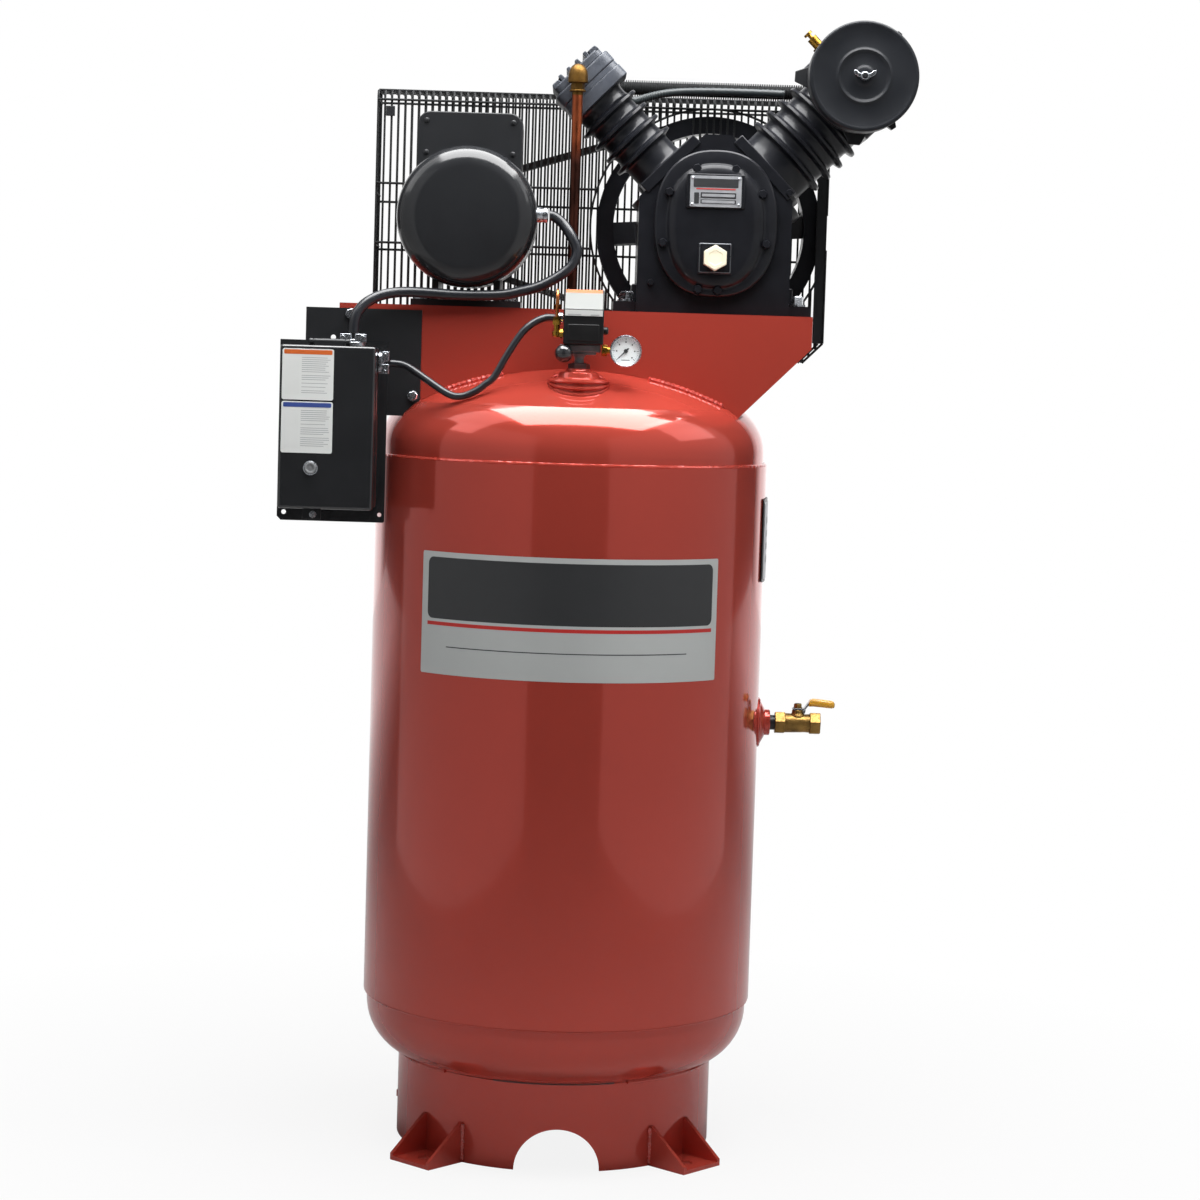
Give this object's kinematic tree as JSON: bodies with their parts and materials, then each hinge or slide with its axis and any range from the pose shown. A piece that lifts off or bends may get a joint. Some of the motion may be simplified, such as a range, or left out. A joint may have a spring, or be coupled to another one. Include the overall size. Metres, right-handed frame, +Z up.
{
  "type": "vertical tank compressor",
  "caption": "Upright receiver on a skirt with foot brackets, carrying a belt-driven two-stage V pump, motor, wire belt guard, starter box and pressure controls.",
  "frame": {"origin": "on the floor, at the tank axis and the centre of the foot bolt circle", "axes": "+Z up along the tank, +X to the right of the front, front towards -Y"},
  "size_m": [0.9509, 0.61, 1.7433],
  "materials": {
    "red_paint": "gloss",
    "black_paint": "satin",
    "cast_black": "satin",
    "zinc": "satin",
    "steel": "satin",
    "brass": "satin",
    "copper": "satin",
    "belt_rubber": "matt",
    "cable": "satin",
    "switch_plastic": "satin",
    "grey_casting": "matt",
    "plug_plastic": "satin",
    "grey_plastic": "satin",
    "relay_plastic": "matt",
    "lens": "clear",
    "needle_paint": "matt",
    "filter_felt": "matt",
    "grip": "gloss"
  },
  "bodies": {
    "stand": {"tank_shell": "red_paint", "tank_heads": "red_paint", "base_skirt": "red_paint", "mounting_feet": "red_paint", "tank_couplings": "red_paint", "saddle": "red_paint", "crankcase": "cast_black", "crankcase_cover": "cast_black", "oil_plug": "plug_plastic", "bearings": "steel", "connecting_rods": "steel", "pistons": "steel", "small_cylinder": "cast_black", "large_cylinder": "cast_black", "valve_plates": "steel", "small_head": "cast_black", "large_head": "cast_black", "intercooler": "cast_black", "relief_valve": "brass", "filter_housing": "black_paint", "filter_element": "filter_felt", "filter_cover": "black_paint", "discharge_elbow": "brass", "discharge_tube": "copper", "check_valve": "brass", "drive_belts": "belt_rubber", "motor_front_bell": "black_paint", "motor_frame": "black_paint", "motor_rear_bell": "black_paint", "motor_stator": "copper", "conduit_box": "black_paint", "guard_front": "black_paint", "guard_back": "black_paint", "switch_manifold": "grey_casting", "pressure_switch": "switch_plastic", "unloader": "brass", "pressure_gauge": "zinc", "gauge_lens": "lens", "starter_bracket": "black_paint", "starter_pan": "black_paint", "contactor": "relay_plastic", "cable_connectors": "zinc", "motor_lead": "cable", "switch_lead": "cable", "outlet_nipple": "steel", "ball_valve_body": "brass", "drain_cock": "brass", "fasteners": "zinc"},
    "crank_drive": {"crankshaft": "steel", "flywheel": "cast_black"},
    "motor_drive": {"motor_rotor": "steel", "motor_pulley": "cast_black"},
    "outlet_lever": {"valve_ball": "zinc", "valve_handle": "grip"},
    "drain_lever": {"drain_handle": "brass"},
    "needle": {"gauge_needle": "needle_paint"},
    "relief_pull": {"relief_stem": "brass"},
    "starter_lid": {"starter_cover": "black_paint"},
    "reset": {"reset_button": "grey_plastic"},
    "filter_nut": {"wing_nut": "zinc"}
  },
  "joints": [
    {"name": "flywheel_spin", "type": "hinge", "parent": "stand", "child": "crank_drive", "pos_m": [0.208, 0, 1.4385], "axis": [0, 1, 0], "continuous": true},
    {"name": "motor_spin", "type": "hinge", "parent": "stand", "child": "motor_drive", "pos_m": [-0.17, 0, 1.4355], "axis": [0, 1, 0], "continuous": true},
    {"name": "outlet_turn", "type": "hinge", "parent": "stand", "child": "outlet_lever", "pos_m": [0.368, 0, 0.664], "axis": [0, 0, 1], "range_deg": [0, 90]},
    {"name": "drain_turn", "type": "hinge", "parent": "stand", "child": "drain_lever", "pos_m": [0, 0, 0.058], "axis": [0, 1, 0], "range_deg": [0, 90]},
    {"name": "needle_turn", "type": "hinge", "parent": "stand", "child": "needle", "pos_m": [0.07546, -0.2, 1.23987], "axis": [0, 1, 0], "range_deg": [0, 270], "stiffness_Nm_per_rad": 0.0005},
    {"name": "relief_lift", "type": "slide", "parent": "stand", "child": "relief_pull", "axis": [-0.7071, 0, 0.7071], "range_m": [0, 0.004], "stiffness_N_per_m": 400},
    {"name": "lid_swing", "type": "hinge", "parent": "stand", "child": "starter_lid", "pos_m": [-0.366, -0.2052, 1.2405], "axis": [-1, 0, 0], "range_deg": [0, 80]},
    {"name": "reset_press", "type": "slide", "parent": "starter_lid", "child": "reset", "axis": [0, 1, 0], "range_m": [0, 0.004], "stiffness_N_per_m": 300},
    {"name": "wing_nut_turn", "type": "hinge", "parent": "stand", "child": "filter_nut", "pos_m": [0.42056, -0.17, 1.66096], "axis": [0, 1, 0], "continuous": true}
  ],
  "couplings": [
    {"joint": "motor_spin", "follows": "flywheel_spin", "ratio": 2.6364}
  ]
}
